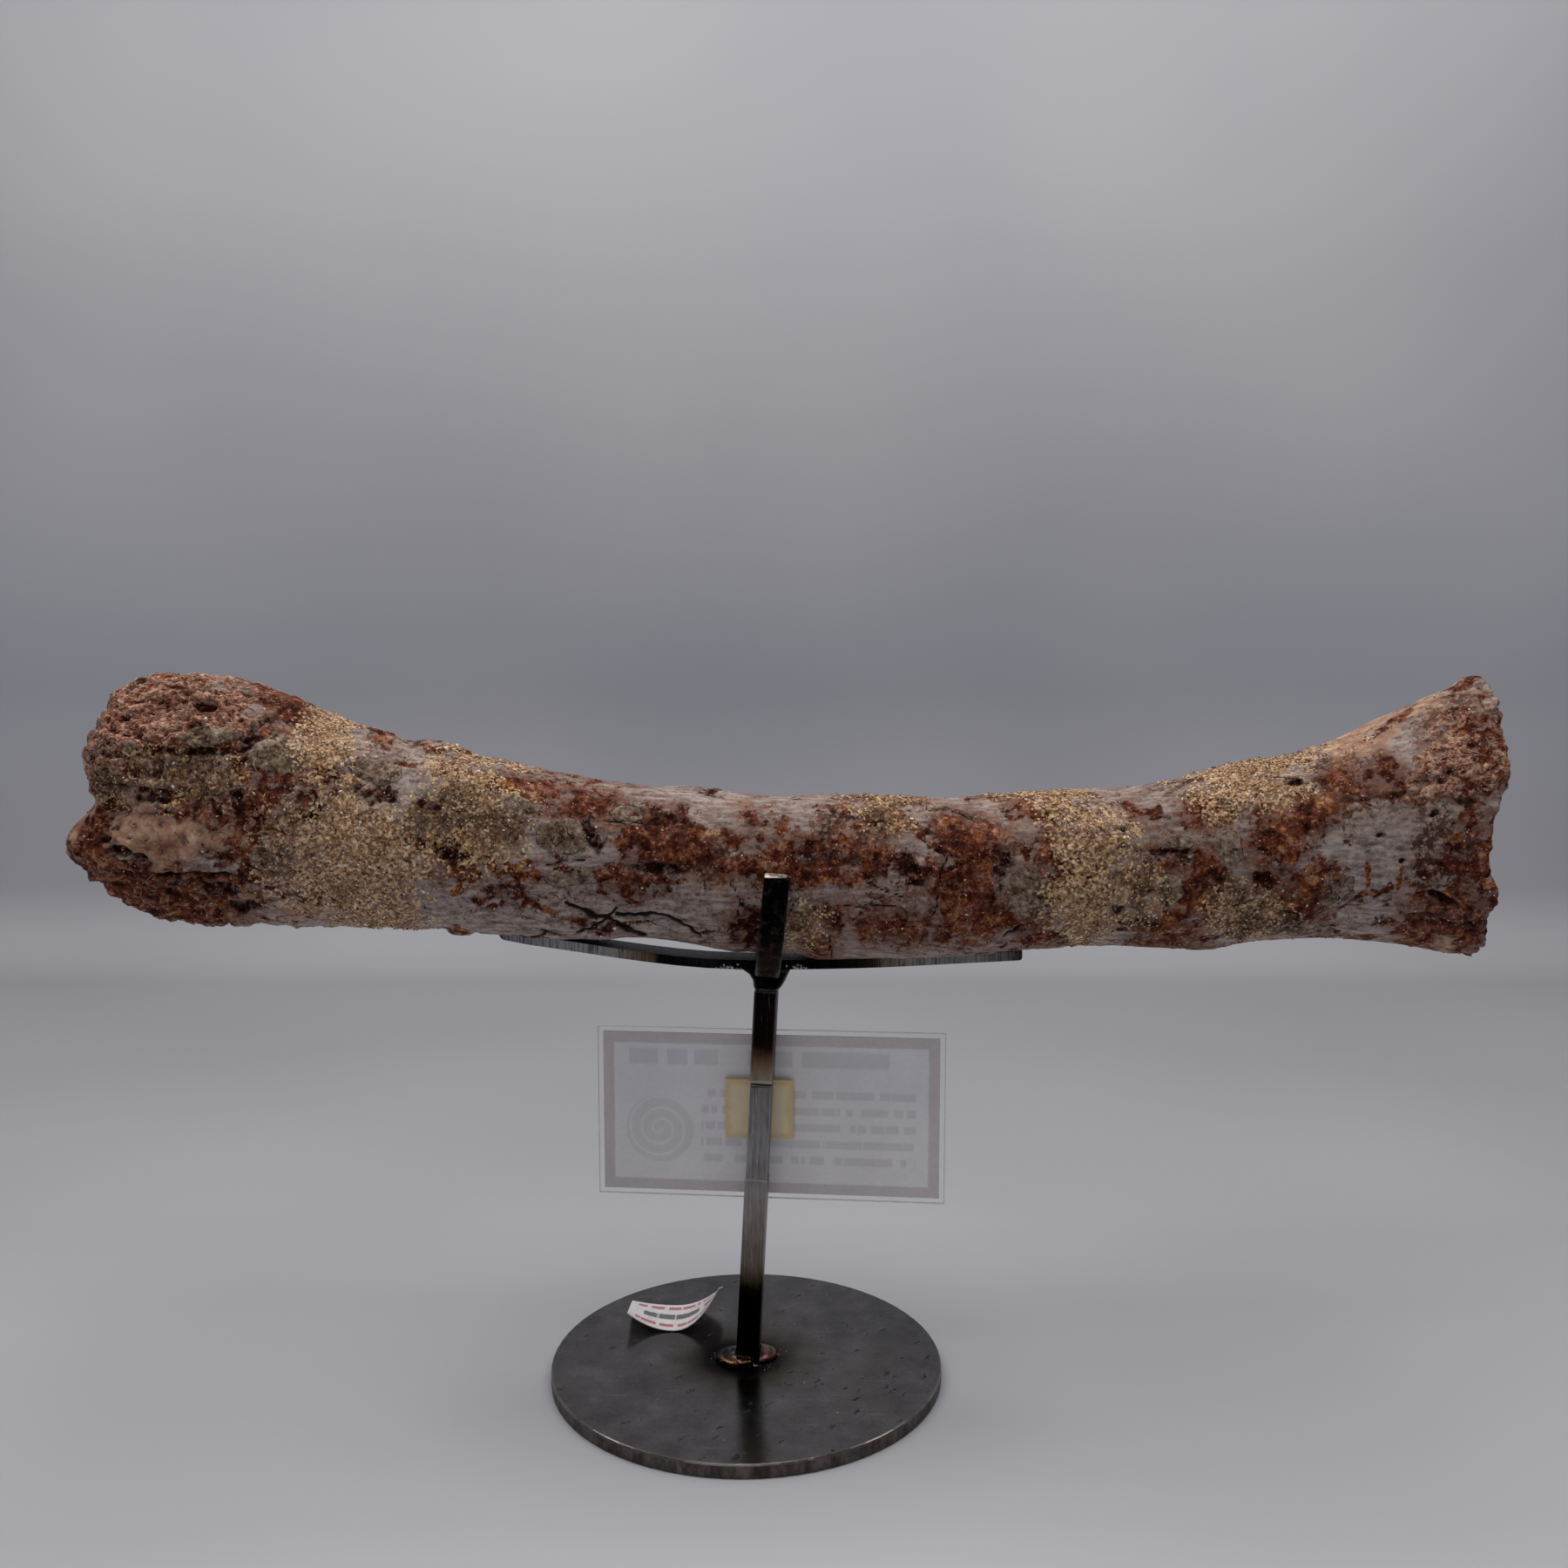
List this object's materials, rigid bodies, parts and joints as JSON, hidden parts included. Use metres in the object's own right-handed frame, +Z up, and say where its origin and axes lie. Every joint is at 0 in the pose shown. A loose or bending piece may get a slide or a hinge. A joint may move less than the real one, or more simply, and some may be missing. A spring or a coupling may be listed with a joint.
{
  "type": "fossil femur on a display stand",
  "caption": "Fossil pterosaur thigh bone, crusted with sand and rust, lying level in the cradle of a welded steel stand with a label card and a price sticker.",
  "frame": {"origin": "centre of the base disc's underside, on the surface that the stand rests on", "axes": "+Z up; +X along the bone, from its knee end towards its broken end; -Y towards the side that the picture shows"},
  "size_m": [0.3556, 0.1016, 0.1831],
  "materials": {
    "fossil_bone": "matte",
    "plate_steel": "satin",
    "bar_steel": "satin",
    "weld_steel": "satin",
    "scale_steel": "matte",
    "laminated_paper": "satin",
    "foam_tape": "matte",
    "sticker_paper": "satin"
  },
  "bodies": {
    "root": {"femur": "fossil_bone", "base_disc": "plate_steel", "lower_post": "bar_steel", "upper_post": "bar_steel", "base_weld": "weld_steel", "cradle_weld": "weld_steel", "front_prong": "scale_steel", "rear_prong": "scale_steel", "left_arm": "scale_steel", "right_arm": "scale_steel", "specimen_card": "laminated_paper", "mounting_tape": "foam_tape", "price_sticker": "sticker_paper"}
  },
  "joints": []
}
